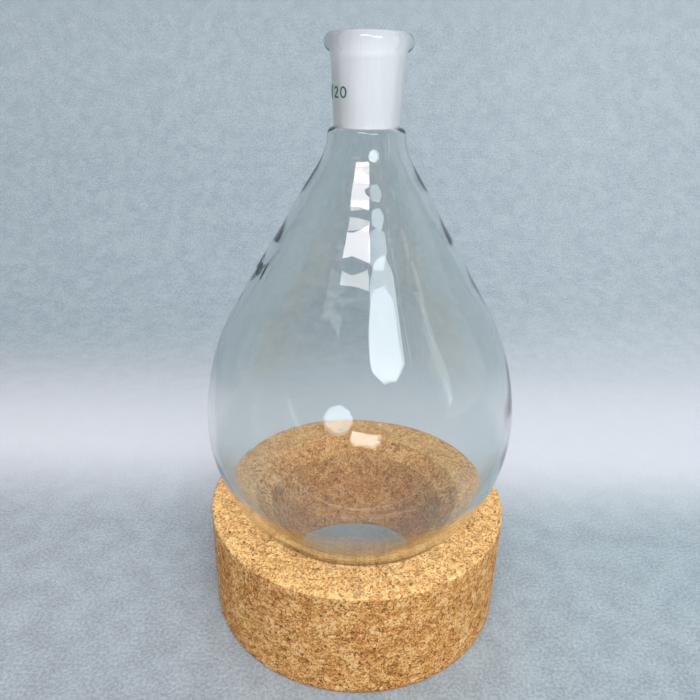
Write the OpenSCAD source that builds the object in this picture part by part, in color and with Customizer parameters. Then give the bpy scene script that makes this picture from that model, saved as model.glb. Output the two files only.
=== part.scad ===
// Pear-shaped laboratory flask with a ground socket, standing on a cork ring.
// Origin: centre of the cork ring's underside. +Z up, the front faces -Y.

/* [Cork ring] */
// Outside diameter of the ring
ring_od = 90; // [88:1:110]
// Height of the ring
ring_h = 34; // [30:1:38]
// Diameter of the tapered hole at the underside
hole_low_d = 44; // [30:1:50]
// Diameter that the tapered hole would have at the top face
hole_top_d = 58; // [54:1:64]
// Break along the ring's outer edges
ring_edge = 0.5; // [0.4:0.1:1.5]

/* [Bulb] */
// Largest outside diameter of the bulb
bulb_od = 88; // [84:1:92]
// Diameter of the circle on which the bulb rests in the ring
seat_d = 66; // [65:1:70]
// Clearance between the bulb and its seat in the cork
seat_gap = 0.3; // [0.2:0.05:0.5]
// Radius of the arc that leads from the widest part to the cone
shoulder_r = 64; // [56:1:70]
// Angle of the cone to the vertical
cone_angle = 31; // [29:0.5:33]
// Radius of the hollow curve between the cone and the neck
neck_fillet_r = 12; // [8:1:16]
// Thickness of the glass
wall = 2; // [1.6:0.1:2.4]

/* [Ground socket] */
// Bore at the wide end of the ground zone
bore_top_d = 14.5; // [14.5:0.5:14.5]
// Length of the ground zone
ground_l = 20; // [18:1:22]
// Fall of the bore's diameter along the ground zone, 1 in this many
taper_ratio = 10; // [10:1:10]
// Step out from the socket's narrow end to the neck below it
neck_step = 1.5; // [1:0.1:1.8]
// Outside diameter of the bead around the mouth
bead_od = 21.4; // [20.5:0.1:22.5]
// Height of the bead with the hollow curve under it
bead_h = 5.7; // [5.4:0.1:6.2]
// Radius of the bead's rounded edge
bead_round = 2.3; // [2:0.1:2.4]
// Clear lip above the ground zone
lip_h = 1; // [0.6:0.1:1.4]

/* [Enamel marks] */
// Thickness of the fired enamel
enamel = 0.1; // [0.06:0.01:0.2]
// Height of the figures on the socket
size_mark_h = 2.6; // [2:0.1:3.5]
// Direction of the middle of the socket's mark, from the front towards +X
size_mark_dir = -76; // [-180:1:180]
// Height of the middle of the socket's mark above the narrow end
size_mark_z = 7.9; // [5:0.1:10]
// Height of the figures on the bulb
capacity_mark_h = 4; // [3:0.1:6]
// Direction of the middle of the bulb's mark, from the front towards +X
capacity_mark_dir = -83; // [-180:1:180]
// Width of a stroke as a share of the figures' height
stroke_share = 0.15; // [0.08:0.01:0.18]

/* [Hidden] */
$fn = 96;
arc_steps = 18;      // steps of each long arc of the glass outline
short_steps = 8;     // steps of each short arc

ring_r = ring_od / 2;
bulb_r = bulb_od / 2;
seat_r = seat_d / 2;
bulb_z = ring_h + sqrt(pow(bulb_r, 2) - pow(seat_r, 2));   // centre of the round bottom
bore_top_r = bore_top_d / 2;
bore_low_r = bore_top_r - ground_l / taper_ratio / 2;
socket_low_r = bore_low_r + wall;
outer_slope = 1 / taper_ratio / 2;                         // the outside follows the bore's taper
bead_r = bead_od / 2;

// Outline of the glass, as radius and height along the axis.
shoulder_cx = bulb_r - shoulder_r;
cone_r0 = shoulder_cx + shoulder_r * cos(cone_angle);      // where the shoulder becomes the cone
cone_z0 = bulb_z + shoulder_r * sin(cone_angle);
neck_r = socket_low_r + neck_step;
neck_cx = neck_r + neck_fillet_r;                          // centre of the hollow curve
cone_r1 = neck_cx - neck_fillet_r * cos(cone_angle);       // where the cone becomes the hollow curve
cone_z1 = cone_z0 + (cone_r0 - cone_r1) / tan(cone_angle);
neck_z = cone_z1 + neck_fillet_r * sin(cone_angle);        // where the hollow curve ends
socket_z0 = neck_z + neck_step;                            // narrow end of the ground zone
socket_z1 = socket_z0 + ground_l;                          // wide end of the ground zone
rim_z = socket_z1 + lip_h;
bead_z0 = rim_z - bead_h;
bead_foot_r = socket_low_r + outer_slope * (bead_z0 - socket_z0);

// The curve under the bead touches the socket's outside at bead_z0 and the bead's round edge.
bead_cx = bead_r - bead_round;
bead_cz = rim_z - bead_round;
under_dx = bead_foot_r - bead_cx;
under_dz = bead_cz - bead_z0;
under_r = (pow(under_dx, 2) + pow(under_dz, 2) - pow(bead_round, 2)) / 2 / (bead_round - under_dx);
under_angle = atan2(under_dz, under_dx + under_r);

function arc(cx, cz, r, from, to, steps) =
    [for (i = [0 : steps]) let (a = from + (to - from) * i / steps) [cx + r * cos(a), cz + r * sin(a)]];

function backwards(points) = [for (i = [len(points) - 1 : -1 : 0]) points[i]];

// One skin of the glass below the socket, set in from the outside by t.
function bulb_skin(t) = concat(
    arc(0, bulb_z, bulb_r - t, -90, 0, arc_steps),
    arc(shoulder_cx, bulb_z, shoulder_r - t, cone_angle / short_steps, cone_angle, short_steps - 1),
    arc(neck_cx, neck_z, neck_fillet_r + t, 180 + cone_angle, 180, short_steps),
    arc(socket_low_r - t, neck_z, neck_step, 90 / short_steps, 90, short_steps - 1));

module turned(points) {
    rotate_extrude() polygon(points);
}

module cork_ring() {
    color("burlywood") difference() {
        turned([
            [hole_low_d / 2, 0],
            [ring_r - ring_edge, 0],
            [ring_r, ring_edge],
            [ring_r, ring_h - ring_edge],
            [ring_r - ring_edge, ring_h],
            [hole_top_d / 2, ring_h]]);
        translate([0, 0, bulb_z]) sphere(r = bulb_r + seat_gap);
    }
}

module flask_bulb() {
    color("lightcyan", 0.4) turned(concat(bulb_skin(0), backwards(bulb_skin(wall))));
}

module ground_socket() {
    lip_round = lip_h * 0.7;
    color("white", 0.7) turned(concat(
        [[bore_low_r, socket_z0], [socket_low_r, socket_z0]],
        arc(bead_foot_r + under_r, bead_z0, under_r, 180, 180 - under_angle, short_steps),
        arc(bead_cx, bead_cz, bead_round, 90 / short_steps - under_angle, 90, short_steps),
        arc(bore_top_r + lip_round, rim_z - lip_round, lip_round, 90, 180, short_steps),
        [[bore_top_r, socket_z1]]));
}

// Strokes of the figures, drawn flat: x to the right, y up, one unit high.
module bar(from, to, w) {
    d = to - from;
    n = [-d[1], d[0]] / norm(d) * w / 2;
    polygon([from - n, to - n, to + n, from + n]);
}

module bow(cx, cy, rx, ry, from, to, w) {
    steps = 14;
    function edge(k) = [for (i = [0 : steps]) let (a = from + (to - from) * i / steps)
        [cx + (rx + k) * cos(a), cy + (ry + k) * sin(a)]];
    polygon(concat(edge(w / 2), backwards(edge(-w / 2))));
}

module oval(rx, ry) {
    steps = 28;
    polygon([for (i = [0 : steps - 1]) [rx * cos(360 * i / steps), ry * sin(360 * i / steps)]]);
}

module figure(name, w) {
    top = 1 - w / 2;
    low = w / 2;
    if (name == "0") translate([0, 0.5]) difference() {
        oval(0.31 + w / 2, 0.5);
        oval(0.31 - w / 2, 0.5 - w);
    }
    if (name == "1") {
        bar([0.04, 0], [0.04, 1], w);
        bar([-0.2, 0.78], [0.06, 1 - w * 0.4], w);
    }
    if (name == "2") {
        bow(0, 0.71, 0.27, 0.29 - w / 2, -25, 165, w);
        bar([0.27, 0.67], [-0.27, low], w);
        bar([-0.34, low], [0.34, low], w);
    }
    if (name == "3") {
        bow(-0.02, 0.75, 0.22, 0.25 - w / 2, -90, 150, w);
        bow(-0.02, 0.27, 0.26, 0.27 - w / 2, -150, 90, w);
    }
    if (name == "4") {
        bar([0.1, 0], [0.1, 1], w);
        bar([0.1, top], [-0.27, 0.28], w);
        bar([-0.31, 0.28], [0.28, 0.28], w);
    }
    if (name == "/") bar([-0.16, -0.16], [0.16, 1.16], w);
    if (name == "m") {
        for (x = [-0.36, 0, 0.36]) bar([x, 0], [x, 0.5], w);
        for (x = [-0.18, 0.18]) bow(x, 0.48, 0.18, 0.18, 0, 180, w);
        bar([-0.36, 0.4], [-0.36, 0.68], w);
    }
    if (name == "l") bar([0, 0], [0, 1], w);
}

// A row of figures around the axis. Each place in the row is a figure and its angle from the middle.
module marks_around(row, h, middle, z, near, far) {
    for (place = row) rotate([0, 0, middle + place[1]])
        translate([0, -near, z - h / 2]) rotate([90, 0, 0])
            linear_extrude(far - near) scale(h) figure(place[0], stroke_share);
}

// The thin layer of enamel on a cone, between two heights.
module enamel_on_cone(r0, z0, r1, z1) {
    translate([0, 0, z0]) difference() {
        cylinder(r1 = r0 + enamel, r2 = r1 + enamel, h = z1 - z0);
        cylinder(r1 = r0, r2 = r1, h = z1 - z0);
    }
}

module joint_size_mark() {
    pitch = 17.5;                                          // degrees from one figure to the next
    row = [["1", -2 * pitch], ["4", -pitch], ["/", 0], ["2", pitch], ["0", 2 * pitch]];
    z0 = socket_z0 + 2;
    z1 = bead_z0 - 1;
    color("darkgreen") intersection() {
        marks_around(row, size_mark_h, size_mark_dir, socket_z0 + size_mark_z, bore_low_r, bead_r);
        enamel_on_cone(
            socket_low_r + outer_slope * (z0 - socket_z0), z0,
            socket_low_r + outer_slope * (z1 - socket_z0), z1);
    }
}

module capacity_mark() {
    pitch = 7.4;                                           // degrees from one figure to the next
    row = [["3", -2.6 * pitch], ["0", -1.6 * pitch], ["0", -0.6 * pitch],
        ["m", 1.1 * pitch], ["l", 2.4 * pitch]];
    z0 = cone_z0 + 1;
    z1 = cone_z0 + (cone_z1 - cone_z0) * 0.6;
    r0 = cone_r0 - (z0 - cone_z0) * tan(cone_angle);
    r1 = cone_r0 - (z1 - cone_z0) * tan(cone_angle);
    color("darkslategray") intersection() {
        marks_around(row, capacity_mark_h, capacity_mark_dir, cone_z0 + 12.4, cone_r1, bulb_r);
        enamel_on_cone(r0, z0, r1, z1);
    }
}

cork_ring();
flask_bulb();
ground_socket();
joint_size_mark();
capacity_mark();
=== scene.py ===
import math

import bmesh
import bpy
from mathutils import Matrix, Vector, noise


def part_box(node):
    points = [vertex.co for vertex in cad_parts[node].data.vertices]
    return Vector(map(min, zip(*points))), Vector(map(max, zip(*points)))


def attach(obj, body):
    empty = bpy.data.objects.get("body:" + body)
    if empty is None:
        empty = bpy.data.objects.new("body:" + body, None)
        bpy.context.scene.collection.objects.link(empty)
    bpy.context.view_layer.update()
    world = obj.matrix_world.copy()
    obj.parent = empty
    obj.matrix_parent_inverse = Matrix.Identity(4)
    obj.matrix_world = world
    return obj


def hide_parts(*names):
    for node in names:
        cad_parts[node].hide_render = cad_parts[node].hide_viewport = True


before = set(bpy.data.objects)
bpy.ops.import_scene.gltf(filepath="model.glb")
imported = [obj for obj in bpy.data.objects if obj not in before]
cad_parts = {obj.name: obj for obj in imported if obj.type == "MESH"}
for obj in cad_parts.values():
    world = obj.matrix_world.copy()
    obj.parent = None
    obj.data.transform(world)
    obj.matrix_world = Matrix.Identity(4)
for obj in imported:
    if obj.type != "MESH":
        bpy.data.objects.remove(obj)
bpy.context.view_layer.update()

mm = 0.001


# camera: level with the socket, close in, looking down on the ring

view = {
    "distance": 163.5 * mm,     # from the flask's axis
    "height": 153.6 * mm,       # above the bench
    "aimX": -3.04 * mm,
    "aimZ": 82.44 * mm,
    "roll": 1.134,              # degrees
    "lens": 32.11,              # on a 36 mm sensor
}


def makeCamera():
    data = bpy.data.cameras.new("camera")
    data.lens = view["lens"]
    data.sensor_width = 36
    data.clip_start = 0.01
    data.clip_end = 20
    camera = bpy.data.objects.new("camera", data)
    bpy.context.collection.objects.link(camera)
    place = Vector((0, -view["distance"], view["height"]))
    forward = (Vector((view["aimX"], 0, view["aimZ"])) - place).normalized()
    right = forward.cross(Vector((0, 0, 1))).normalized()
    right.rotate(Matrix.Rotation(-math.radians(view["roll"]), 3, forward))
    up = right.cross(forward)
    turn = Matrix((right, up, -forward)).transposed().to_4x4()
    camera.matrix_world = Matrix.Translation(place) @ turn
    bpy.context.scene.camera = camera


makeCamera()
print("camera placed")


# shader helpers

class Link:
    # an output socket that takes part in arithmetic
    def __init__(self, graph, socket):
        self.graph = graph
        self.socket = socket

    def math(self, operation, first, second):
        return self.graph.node("ShaderNodeMath", {"operation": operation}, [first, second])

    def __add__(self, other):
        return self.math("ADD", self, other)

    def __radd__(self, other):
        return self.math("ADD", other, self)

    def __sub__(self, other):
        return self.math("SUBTRACT", self, other)

    def __rsub__(self, other):
        return self.math("SUBTRACT", other, self)

    def __mul__(self, other):
        return self.math("MULTIPLY", self, other)

    def __rmul__(self, other):
        return self.math("MULTIPLY", other, self)


class Graph:
    # the nodes of one material
    def __init__(self, name):
        self.material = bpy.data.materials.new(name)
        self.material.use_nodes = True
        self.tree = self.material.node_tree
        self.tree.nodes.clear()
        self.end = self.tree.nodes.new("ShaderNodeOutputMaterial")

    def node(self, kind, settings=None, sockets=None, output=0):
        made = self.tree.nodes.new(kind)
        for key, value in (settings or {}).items():
            if key == "stops":
                self.setStops(made.color_ramp, value)
            else:
                setattr(made, key, value)
        pairs = sockets.items() if isinstance(sockets, dict) else enumerate(sockets or [])
        for key, value in pairs:
            if isinstance(value, Link):
                self.tree.links.new(value.socket, made.inputs[key])
            else:
                made.inputs[key].default_value = value
        return Link(self, made.outputs[output])

    def setStops(self, ramp, stops):
        while len(ramp.elements) < len(stops):
            ramp.elements.new(0.5)
        for element, (place, colour) in zip(ramp.elements, stops):
            element.position = place
            element.color = (*colour, 1)

    def ramp(self, value, stops):
        return self.node("ShaderNodeValToRGB", {"stops": stops}, {"Fac": value})

    def fade(self, value, low, high):
        # 0 below low, 1 above high, smooth between
        return self.node("ShaderNodeMapRange", {"interpolation_type": "SMOOTHSTEP"},
                         {"Value": value, "From Min": low, "From Max": high})

    def mix(self, share, first, second):
        # of two colours, each a link or three numbers
        ends = [c if isinstance(c, Link) else (*c, 1) for c in (first, second)]
        return self.node("ShaderNodeMix", {"data_type": "RGBA"}, {0: share, 6: ends[0], 7: ends[1]}, 2)

    def place(self):
        return self.node("ShaderNodeTexCoord", output="Object")

    def axis(self, vector, axis):
        return self.node("ShaderNodeSeparateXYZ", {}, {"Vector": vector}, axis)

    def noise(self, vector, size, detail=2.0, roughness=0.5, output=0):
        return self.node("ShaderNodeTexNoise", {}, {
            "Vector": vector, "Scale": 1 / size, "Detail": detail, "Roughness": roughness}, output)

    def cells(self, vector, size):
        # a number between 0 and 1 for each cell
        shade = self.node("ShaderNodeTexVoronoi", {}, {"Vector": vector, "Scale": 1 / size}, "Color")
        return self.node("ShaderNodeSeparateColor", {}, {"Color": shade})

    def bump(self, height, distance, strength=1.0):
        return self.node("ShaderNodeBump", {}, {
            "Height": height, "Distance": distance, "Strength": strength})

    def principled(self, **sockets):
        named = {key.replace("_", " "): value for key, value in sockets.items()}
        return self.node("ShaderNodeBsdfPrincipled", {}, named)

    def finish(self, shader):
        self.tree.links.new(shader.socket, self.end.inputs["Surface"])
        return self.material


def letLampsThrough(graph, glass, tint):
    # lamps light what stands behind the glass
    shadow = graph.node("ShaderNodeLightPath", output="Is Shadow Ray")
    clear = graph.node("ShaderNodeBsdfTransparent", {}, {"Color": (*tint, 1)})
    return graph.node("ShaderNodeMixShader", {}, [shadow, glass, clear])


# materials

glassLook = {
    "index": 1.473,
    # partly the glass's own tint, partly painted shade: it darkens what is seen through the flask
    "tint": (0.855, 0.885, 0.875),
    "shade": (0.87, 0.875, 0.875),      # what a shadow keeps of the light, at each skin
    "wipeMarks": 0.02,                  # roughness where the glass was wiped
    "groundDark": (0.69, 0.71, 0.745),
    "groundPale": (0.80, 0.81, 0.83),
    "groundShade": (0.7, 0.72, 0.73),
    "groundRough": 0.62,
    "groundClear": 0.15,                # how much of the ground face is still clear
    "streakSize": 0.5 * mm,
}


def clearGlass():
    g = Graph("clearGlass")
    place = g.place()
    haze = g.noise(place, 14 * mm, 4)
    glass = g.principled(
        Base_Color=(*glassLook["tint"], 1),
        Roughness=g.fade(haze, 0.62, 0.8) * glassLook["wipeMarks"],
        IOR=glassLook["index"],
        Transmission_Weight=1.0)
    return g.finish(letLampsThrough(g, glass, glassLook["shade"]))


def groundGlass():
    g = Graph("groundGlass")
    place = g.place()
    stretched = g.node("ShaderNodeMapping", {}, {"Vector": place, "Scale": (1, 1, 0.06)})
    streaks = g.noise(stretched, glassLook["streakSize"], 3)        # left by the grinding cone
    grain = g.noise(place, 0.12 * mm, 2)
    height = streaks * 0.7 + grain * 0.3
    glass = g.principled(
        Base_Color=g.mix(streaks, glassLook["groundDark"], glassLook["groundPale"]),
        Roughness=glassLook["groundRough"] + 0.2 * streaks,
        IOR=glassLook["index"],
        Transmission_Weight=glassLook["groundClear"],
        Normal=g.bump(height, 0.03 * mm, 0.6))
    return g.finish(letLampsThrough(g, glass, glassLook["groundShade"]))


def enamel(name, colour):
    g = Graph(name)
    place = g.place()
    wear = g.noise(place, 0.5 * mm, 3)
    dark = tuple(c * 0.7 for c in colour)                   # where the paint is thick
    paint = g.principled(
        Base_Color=g.mix(g.fade(wear, 0.35, 0.7), dark, colour),
        Roughness=0.3 + 0.25 * wear,
        Normal=g.bump(wear, 0.02 * mm, 0.4))
    return g.finish(paint)


corkLook = {
    "tones": [                          # from burnt grains to pale ones
        (0.30, (0.26, 0.095, 0.022)),
        (0.43, (0.60, 0.285, 0.080)),
        (0.55, (0.85, 0.445, 0.135)),
        (0.68, (1.0, 0.72, 0.35))],
    # ruddy patches, and the painted shade on every face but the top
    "ruddy": (0.62, 0.27, 0.09),
    # the top face's paler colour: sanded cork and painted light
    "sandedTopPaintedLight": (1.0, 0.71, 0.34),
    # painted shade for the back of the ring
    "paintedBackShade": (0.55, 0.21, 0.055),
    "speck": (0.11, 0.036, 0.009),
    "bark": (0.17, 0.065, 0.018),
    "pit": (0.07, 0.025, 0.009),
    "grainSize": 1.5 * mm,
    "crumbSize": 0.62 * mm,
    "patchSize": 7 * mm,
    "fineSize": 0.5 * mm,
    "speckSize": 0.55 * mm,
    "barkSize": 1.9 * mm,
    "relief": 0.35 * mm,
}


def cork():
    g = Graph("cork")
    place = g.place()
    warp = g.noise(place, 2.0 * mm, 3, output="Color")
    warped = g.node("ShaderNodeVectorMath", {"operation": "MULTIPLY_ADD"},
                    {0: warp, 1: (0.9 * mm,) * 3, 2: place})
    sandedTopPaintedLight = g.fade(g.axis(place, 2), 33.2 * mm, 33.6 * mm)        # the sawn and sanded top face, also made lighter as painted light from above
    grain = g.cells(warped, corkLook["grainSize"])
    crumbs = g.cells(warped, corkLook["crumbSize"])
    patch = g.noise(place, corkLook["patchSize"], 4, 0.6)
    fine = g.noise(warped, corkLook["fineSize"], 5, 0.75)
    tone = grain * 0.2 + crumbs * 0.22 + patch * (0.45 - 0.25 * sandedTopPaintedLight)
    # painted light: the top face's tone is raised
    tone = tone + fine * 1.4 + 0.105 * sandedTopPaintedLight - 0.635
    colour = g.ramp(tone, corkLook["tones"])
    ruddy = g.fade(g.noise(place, 4 * mm, 2), 0.5, 0.75) * (1 - sandedTopPaintedLight)
    # painted shade: every face but the top is made redder and darker, as less light falls on it
    colour = g.mix(ruddy * 0.35 + (1 - sandedTopPaintedLight) * 0.22, colour, corkLook["ruddy"])
    # painted light: the top face is made paler and lighter
    colour = g.mix(sandedTopPaintedLight * 0.27, colour, corkLook["sandedTopPaintedLight"])
    paintedBackShade = g.fade(g.axis(place, 1), -6 * mm, 22 * mm)              # painted shade: the ring darkens towards the back, where the bulb shades it
    colour = g.mix(paintedBackShade * 0.28, colour, corkLook["paintedBackShade"])
    speck = g.fade(g.noise(place, corkLook["speckSize"], 2, 0.55), 0.6, 0.635)
    colour = g.mix(speck * 0.85, colour, corkLook["speck"])
    bark = g.fade(g.noise(warped, corkLook["barkSize"], 3, 0.6), 0.66, 0.71)
    colour = g.mix(bark * 0.75, colour, corkLook["bark"])
    pit = g.node("ShaderNodeAttribute", {"attribute_name": "pit"}, output="Fac")
    colour = g.mix(pit * (0.85 - 0.4 * sandedTopPaintedLight), colour, corkLook["pit"])
    height = fine * 0.6 + crumbs * 0.15 - speck * 0.4 - bark * 0.3
    body = g.principled(
        Base_Color=colour,
        Roughness=0.8 + 0.15 * fine,
        Specular_IOR_Level=0.15,
        Normal=g.bump(height, corkLook["relief"], 1.0))
    return g.finish(body)


# mesh helpers

def toObject(bm, name, materials):
    mesh = bpy.data.meshes.new(name)
    bm.to_mesh(mesh)
    bm.free()
    piece = bpy.data.objects.new(name, mesh)
    bpy.context.collection.objects.link(piece)
    for material in materials:
        mesh.materials.append(material)
    mesh.shade_smooth()
    return piece


def arc(cx, cz, radius, start, end, steps):
    # points on a circle in the XZ plane, angles in degrees
    turns = [math.radians(start + (end - start) * i / steps) for i in range(steps + 1)]
    return [(cx + radius * math.cos(t), cz + radius * math.sin(t)) for t in turns]


def line(start, end, steps):
    # the points after start, up to and including end
    return [(start[0] + (end[0] - start[0]) * i / steps, start[1] + (end[1] - start[1]) * i / steps)
            for i in range(1, steps + 1)]


def turned(points, steps, closed):
    # a body of revolution about Z from an outline of radius and height
    bm = bmesh.new()
    verts = [bm.verts.new((r, 0, z)) for r, z in points]
    edges = [bm.edges.new(pair) for pair in zip(verts, verts[1:])]
    if closed:
        edges.append(bm.edges.new((verts[-1], verts[0])))
    bmesh.ops.spin(bm, geom=verts + edges, cent=(0, 0, 0), axis=(0, 0, 1),
                   angle=math.tau, steps=steps, use_merge=True)
    bmesh.ops.remove_doubles(bm, verts=bm.verts, dist=0.002 * mm)
    bmesh.ops.recalc_face_normals(bm, faces=bm.faces)
    return bm


# glass

socket = {
    "boreTop": 7.25 * mm,       # radius of the ground bore under the lip
    "groundLength": 20 * mm,
    "taper": 1 / 20,            # of the radius
    "lip": 1.0 * mm,
    "lipRound": 0.7 * mm,
    "beadHeight": 5.7 * mm,     # with the hollow curve under it
    "beadRound": 2.3 * mm,
    "seamGap": 0.02 * mm,
    "around": 160,
}

flask = {
    "wall": 2.0 * mm,
    "shoulderRadius": 64 * mm,
    "coneAngle": 31,            # degrees from upright
    "neckCurve": 12 * mm,
    "neckStep": 1.5 * mm,
    "ripple": 0.05 * mm,        # how far the blown wall wanders
    "rippleSize": 22 * mm,
    "rings": 0.10 * mm,         # tool rings left below the neck
    "ringSize": 13 * mm,
    "around": 192,
}

bulbLow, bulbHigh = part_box("flask_bulb")
socketLow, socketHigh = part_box("ground_socket")
bulbRadius = round((bulbHigh.x - bulbLow.x) / 2, 4)
beadRadius = round((socketHigh.x - socketLow.x) / 2, 4)
boreLow = socket["boreTop"] - socket["groundLength"] * socket["taper"]
socketZ = socketLow.z
rimZ = socketHigh.z


def bulbSkin(inset):
    # one skin of the wall, from the pole up to the socket
    wall = flask["wall"]
    tilt = math.radians(flask["coneAngle"])
    shoulder = flask["shoulderRadius"]
    curve = flask["neckCurve"]
    step = flask["neckStep"]
    middle = bulbLow.z + bulbRadius
    shoulderX = bulbRadius - shoulder
    neckRadius = boreLow + wall + step
    curveX = neckRadius + curve
    neckZ = socketZ - step
    ball = arc(0, middle, bulbRadius - inset, -90, 0, 60)
    swell = arc(shoulderX, middle, shoulder - inset, 0, flask["coneAngle"], 28)[1:]
    hollow = arc(curveX, neckZ, curve + inset, 180 + flask["coneAngle"], 180, 14)
    cone = line(swell[-1], hollow[0], 30)[:-1]
    corner = arc(boreLow + wall - inset, neckZ, step, 0, 90, 8)[1:]
    return ball + swell + cone + hollow + corner


def ripple(bm, seed):
    # the slight unevenness of a blown wall
    for v in bm.verts:
        size = flask["rippleSize"]
        below = socketZ - v.co.z
        keep = min(1, max(0, below / (12 * mm)))
        radius = math.hypot(v.co.x, v.co.y)
        out = noise.noise(v.co / size + Vector((seed, 0, 0)))
        out += 0.5 * noise.noise(v.co / (size * 0.4) + Vector((0, seed, 0)))
        wander = 1.6 * noise.noise(v.co / (size * 0.7) + Vector((0, 0, seed)))
        ringed = math.sin(math.tau * below / flask["ringSize"] + wander)
        ringed *= min(1, max(0, 1.6 - abs(below - 20 * mm) / (14 * mm)))
        move = flask["ripple"] * out * min(1, radius / (6 * mm)) + flask["rings"] * ringed
        v.co += v.normal * move * keep


def makeBulb(glass):
    outline = bulbSkin(0) + bulbSkin(flask["wall"])[::-1]
    bm = turned(outline, flask["around"], False)
    bm.normal_update()
    ripple(bm, 3.7)
    piece = toObject(bm, "flaskBulb", [glass])
    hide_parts("flask_bulb")
    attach(piece, "flask")


def makeSocket(glass, ground):
    boreTop = socket["boreTop"]
    lipRound = socket["lipRound"]
    lowRadius = boreLow + flask["wall"]
    beadFoot = rimZ - socket["beadHeight"]
    footRadius = lowRadius + (beadFoot - socketZ) * socket["taper"]
    rounded = socket["beadRound"]
    dx = footRadius - (beadRadius - rounded)
    dz = rimZ - rounded - beadFoot
    # the hollow curve starts upright at the foot and runs smoothly into the bead
    hollow = (dx ** 2 + dz ** 2 - rounded ** 2) / 2 / (rounded - dx)
    turn = math.degrees(math.atan2(dz, dx + hollow))
    low = socketZ + socket["seamGap"]
    groundTop = (boreTop, rimZ - socket["lip"])
    outside = [(lowRadius, low)] + line((lowRadius, low), (footRadius, beadFoot), 12)
    flare = arc(footRadius + hollow, beadFoot, hollow, 180, 180 - turn, 10)[1:]
    bead = arc(beadRadius - rounded, rimZ - rounded, rounded, -turn, 90, 20)[1:]
    lip = arc(boreTop + lipRound, rimZ - lipRound, lipRound, 90, 180, 8)
    bore = line(groundTop, (boreLow, low), 30)
    outline = outside + flare + bead + lip + [groundTop] + bore
    bm = turned(outline, socket["around"], True)
    for face in bm.faces:
        middle = face.calc_center_median()
        radius = math.hypot(middle.x, middle.y)
        inBore = radius < boreTop + 0.02 * mm and face.normal.z > -0.5
        if inBore and low + 0.01 * mm < middle.z < groundTop[1]:
            face.material_index = 1
    piece = toObject(bm, "groundSocket", [glass, ground])
    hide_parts("ground_socket")
    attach(piece, "flask")


clear = clearGlass()
makeBulb(clear)
makeSocket(clear, groundGlass())
print("glass made")


# enamel marks: the solids' shapes are right, so they only get a finish

def finishMark(node, material):
    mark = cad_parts[node]
    mark.data.materials.clear()
    mark.data.materials.append(material)


finishMark("joint_size_mark", enamel("greenEnamel", (0.035, 0.16, 0.085)))
finishMark("capacity_mark", enamel("darkEnamel", (0.012, 0.035, 0.035)))
print("marks finished")


# cork ring

ring = {
    "holeLow": 22 * mm,         # radius at the bench
    "holeTop": 29 * mm,         # radius that the taper would have at the top
    "edge": 0.5 * mm,           # break of the outer edges
    "seatGap": 0.12 * mm,
    "around": 470,
    "grain": 1.7 * mm,
    "grainDepth": 0.09 * mm,
    "pitDepth": 0.6 * mm,
    "pitSize": 2.2 * mm,
    "crumble": 0.5 * mm,        # how far the edges are broken away
}


def seatRadius(z):
    # radius of the sphere pressed into the cork, at a height
    middle = bulbLow.z + bulbRadius
    reach = bulbRadius + ring["seatGap"]
    return math.sqrt(max(0, reach ** 2 - (middle - z) ** 2))


def ringOutline(outer, height):
    edge = ring["edge"]
    low = ring["holeLow"]
    spread = ring["holeTop"] - low
    steps = 400
    levels = [height * i / steps for i in range(steps)]
    meet = next(z for z in levels if seatRadius(z) > low + spread * z / height)     # taper to seat
    under = line((low, 0), (outer - edge, 0), 12)
    side = line((outer, edge), (outer, height - edge), 74)
    top = line((outer - edge, height), (seatRadius(height), height), 30)
    seat = [(seatRadius(z), z) for z in (height + (meet - height) * i / 14 for i in range(1, 15))]
    hole = line(seat[-1], (low, 0), 44)
    return under + [(outer, edge)] + side + [(outer - edge, height)] + top + seat + hole


def crumble(bm, outer, height):
    # grains, pits and broken edges; the layer tells the material where the pits are
    pit = bm.verts.layers.float.new("pit")
    for v in bm.verts:
        p = v.co.copy()
        radius = math.hypot(p.x, p.y)
        distances, _ = noise.voronoi(p / ring["grain"])
        grain = min(1, distances[1] - distances[0])
        rough = noise.fractal(p / (0.8 * mm), 1.0, 2.0, 3)
        depth = ring["grainDepth"] * (0.9 - grain) + 0.05 * mm * rough
        spots, _ = noise.voronoi(p / ring["pitSize"] + Vector((9.1, 4.2, 7.7)))
        pick = noise.noise(p / (1.6 * mm) + Vector((31, 17, 5)))
        hole = max(0, 1 - spots[0] / 0.32) if pick > 0.12 else 0
        corner = min(abs(outer - radius), 4 * mm) + min(abs(height - p.z), abs(p.z), 4 * mm)
        nearEdge = max(0, 1 - corner / (1.4 * mm))
        broken = max(0, noise.noise(p / (1.3 * mm) + Vector((3, 3, 8))) - 0.05) * nearEdge
        depth += ring["pitDepth"] * min(1, hole * 1.6) + ring["crumble"] * broken
        v[pit] = min(1, hole * 1.5)
        keepFlat = min(1, p.z / (0.6 * mm)) if radius < outer - 1.5 * mm else 1
        v.co -= v.normal * depth * keepFlat
        v.co.z = max(0, v.co.z)


def makeRing(material):
    low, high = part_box("cork_ring")
    outer = round((high.x - low.x) / 2, 4)
    bm = turned(ringOutline(outer, high.z), ring["around"], True)
    bm.normal_update()
    crumble(bm, outer, high.z)
    piece = toObject(bm, "corkRing", [material])
    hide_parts("cork_ring")
    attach(piece, "ring")


makeRing(cork())
print("cork ring made")


# stage: floor, wall and soft light

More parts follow.
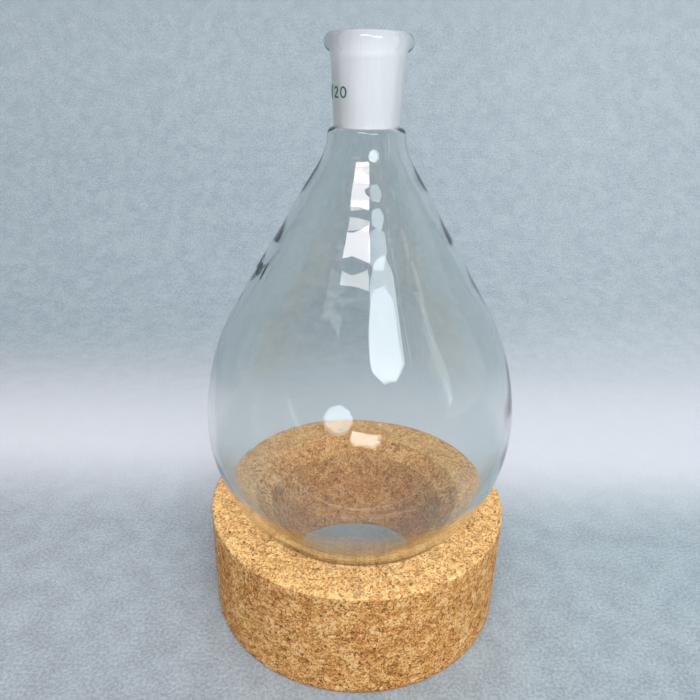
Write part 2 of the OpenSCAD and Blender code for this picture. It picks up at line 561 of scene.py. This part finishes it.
paper = {
    # painted light: the floor is greyer on the left and bluer on the right
    "floorLeft": (0.285, 0.320, 0.355),
    "floorRight": (0.262, 0.345, 0.388),
    # painted shade: the floor is darker towards the front
    "floorNear": (0.17, 0.185, 0.21),
    # painted light: the wall is lighter towards its top
    "wallLow": (0.275, 0.350, 0.395),
    "wallHigh": (0.352, 0.430, 0.472),
    # painted light: the wall is lighter towards the right
    "wallRight": (0.62, 0.68, 0.72),
    "paintedLightBand": (0.675, 0.70, 0.745),       # painted light: the lighter strip behind the ring
    "mottle": 0.17,
}

studio = {
    "floorHalf": 1.0,
    "wallAt": 0.36,                     # metres behind the object
    "wallHigh": 0.46,
    "bend": 0.2,
    "lampFar": 1.3,
    "lampAim": Vector((0, 0, 0.08)),
    "worldLight": 0.40,
}

lamps = {                               # bearings and sizes in degrees, as the object sees them
    "softOctagon": {"azimuth": 23.5, "elevation": 36, "width": 24.5, "tall": 24.5, "sides": 8,
                    "colour": (0.88, 0.94, 1.0), "power": 8.5},
    "softPanel": {"azimuth": -11, "elevation": 54.5, "width": 26, "tall": 10.2, "sides": 4,
                  "colour": (1.0, 0.91, 0.92), "power": 15.0},
    "lampStand": {"azimuth": 43.5, "elevation": 40, "width": 0.5, "tall": 22, "sides": 4,
                  "colour": (1.0, 1.0, 1.0), "power": 3.0},
    "window": {"azimuth": 68, "elevation": 20, "width": 4, "tall": 34, "sides": 4,
               "colour": (0.92, 0.96, 1.0), "power": 2.2},
    "shelf": {"azimuth": -32, "elevation": 40, "width": 16, "tall": 3, "sides": 4,
              "colour": (1.0, 0.96, 0.94), "power": 1.6},
    "ceilingTube": {"azimuth": 176, "elevation": 53, "width": 80, "tall": 2.2, "sides": 4,
                    "colour": (1.0, 0.98, 0.96), "power": 3.5},
    "leftWall": {"azimuth": -95, "elevation": 12, "width": 60, "tall": 50, "sides": 4,
                 "colour": (0.92, 0.96, 1.0), "power": 0.45},
    "rightWall": {"azimuth": 95, "elevation": 12, "width": 60, "tall": 50, "sides": 4,
                  "colour": (0.92, 0.96, 1.0), "power": 0.75},
}

softLights = {                          # places and sizes in metres, power in watts
    "key": {"place": (0.55, -0.62, 0.62), "size": 0.35, "power": 1.75, "colour": (1.0, 0.96, 0.92)},
    "sky": {"place": (0.0, -0.12, 0.95), "size": 0.8, "power": 3.3, "colour": (1.0, 0.96, 0.92)},
}


def backdrop():
    g = Graph("paper")
    place = g.place()
    flow = g.noise(place, 9 * mm, 3, 0.6)
    grain = g.noise(place, 0.9 * mm, 3, 0.6)
    mottle = g.fade(flow, 0.3, 0.7) * 0.3 + g.fade(grain, 0.3, 0.7) * 0.7
    across, along, rise = (g.axis(place, i) for i in range(3))
    # painted light: the floor turns from greyer on the left to bluer on the right
    hue = g.fade(across + 0.35 * flow, -60 * mm, 330 * mm)
    floor = g.mix(hue, paper["floorLeft"], paper["floorRight"])
    # painted light: the wall is lighter towards its top
    wall = g.mix(g.fade(rise, 60 * mm, 210 * mm), paper["wallLow"], paper["wallHigh"])
    # painted light: the wall is lighter towards the right
    wall = g.mix(g.fade(across, 20 * mm, 170 * mm) * 0.10, wall, paper["wallRight"])
    # painted shade: the floor darkens towards the front
    floor = g.mix((1 - g.fade(along, -90 * mm, 0)) * 0.22, floor, paper["floorNear"])
    tone = g.mix(g.fade(along, 110 * mm, 220 * mm), floor, wall)
    tone = g.mix(paper["mottle"], tone, g.mix(mottle, (0, 0, 0), (1, 1, 1)))
    # painted light: a bright strip across the floor behind the ring
    farEdge = g.fade(along - 0.1 * across, 88 * mm, 240 * mm)
    paintedLightBand = g.fade(along, 18 * mm, 80 * mm) * (1 - farEdge)
    tone = g.mix(paintedLightBand * 0.78, tone, paper["paintedLightBand"])
    body = g.principled(
        Base_Color=tone,
        Roughness=0.75,
        Specular_IOR_Level=0.2,
        Normal=g.bump(grain, 0.25 * mm, 0.6))
    return g.finish(body)


def makeSweep():
    half = studio["floorHalf"]
    bend = studio["bend"]
    at = studio["wallAt"]
    outline = [(-half, 0)] + arc(at - bend, bend, bend, -90, 0, 40) + [(at, studio["wallHigh"])]
    bm = bmesh.new()
    verts = [bm.verts.new((-half, y, z)) for y, z in outline]
    edges = [bm.edges.new(pair) for pair in zip(verts, verts[1:])]
    grown = bmesh.ops.extrude_edge_only(bm, edges=edges)
    moved = [v for v in grown["geom"] if isinstance(v, bmesh.types.BMVert)]
    bmesh.ops.translate(bm, verts=moved, vec=(2 * half, 0, 0))
    bmesh.ops.recalc_face_normals(bm, faces=bm.faces)
    if bm.faces[0].normal.z < 0:
        bmesh.ops.reverse_faces(bm, faces=bm.faces)
    toObject(bm, "sweep", [backdrop()])


def glow(name, colour, power):
    g = Graph(name)
    return g.finish(g.node("ShaderNodeEmission", {}, {"Color": (*colour, 1), "Strength": power}))


def makeLamp(name, azimuth, elevation, width, tall, sides, colour, power):
    # a soft box whose front faces the object; its size is given in degrees
    a, e = math.radians(azimuth), math.radians(elevation)
    out = Vector((math.sin(a) * math.cos(e), -math.cos(a) * math.cos(e), math.sin(e)))
    reach = studio["lampFar"]
    across = 2 * reach * math.tan(math.radians(width / 2))
    up = 2 * reach * math.tan(math.radians(tall / 2))
    bm = bmesh.new()
    bmesh.ops.create_circle(bm, cap_ends=True, segments=sides, radius=0.5 / math.cos(math.pi / sides))
    bmesh.ops.rotate(bm, verts=bm.verts, matrix=Matrix.Rotation(math.pi / sides, 3, "Z"))
    bmesh.ops.scale(bm, verts=bm.verts, vec=(across, up, 1))
    bmesh.ops.transform(bm, verts=bm.verts, matrix=out.to_track_quat("Z", "Y").to_matrix().to_4x4())
    bmesh.ops.translate(bm, verts=bm.verts, vec=out * reach + studio["lampAim"])
    toObject(bm, name, [glow(name + "Glow", colour, power)])


def makeSoftLight(name, place, size, power, colour):
    # lights the cork and the floor, and isn't mirrored by the glass
    data = bpy.data.lights.new(name, "AREA")
    data.size = size
    data.energy = power
    data.color = colour
    light = bpy.data.objects.new(name, data)
    light.location = place
    light.rotation_euler = (studio["lampAim"] - Vector(place)).to_track_quat("-Z", "Y").to_euler()
    light.visible_glossy = False
    light.visible_transmission = False
    bpy.context.collection.objects.link(light)


def makeWorld():
    world = bpy.data.worlds.new("room")
    world.use_nodes = True
    room = world.node_tree.nodes["Background"]
    room.inputs["Color"].default_value = (0.88, 0.93, 1.0, 1)
    room.inputs["Strength"].default_value = studio["worldLight"]
    bpy.context.scene.world = world
    bpy.context.scene.view_settings.view_transform = "Standard"


makeSweep()
for name, lamp in lamps.items():
    makeLamp(name, **lamp)
for name, light in softLights.items():
    makeSoftLight(name, **light)
makeWorld()
print("stage made")
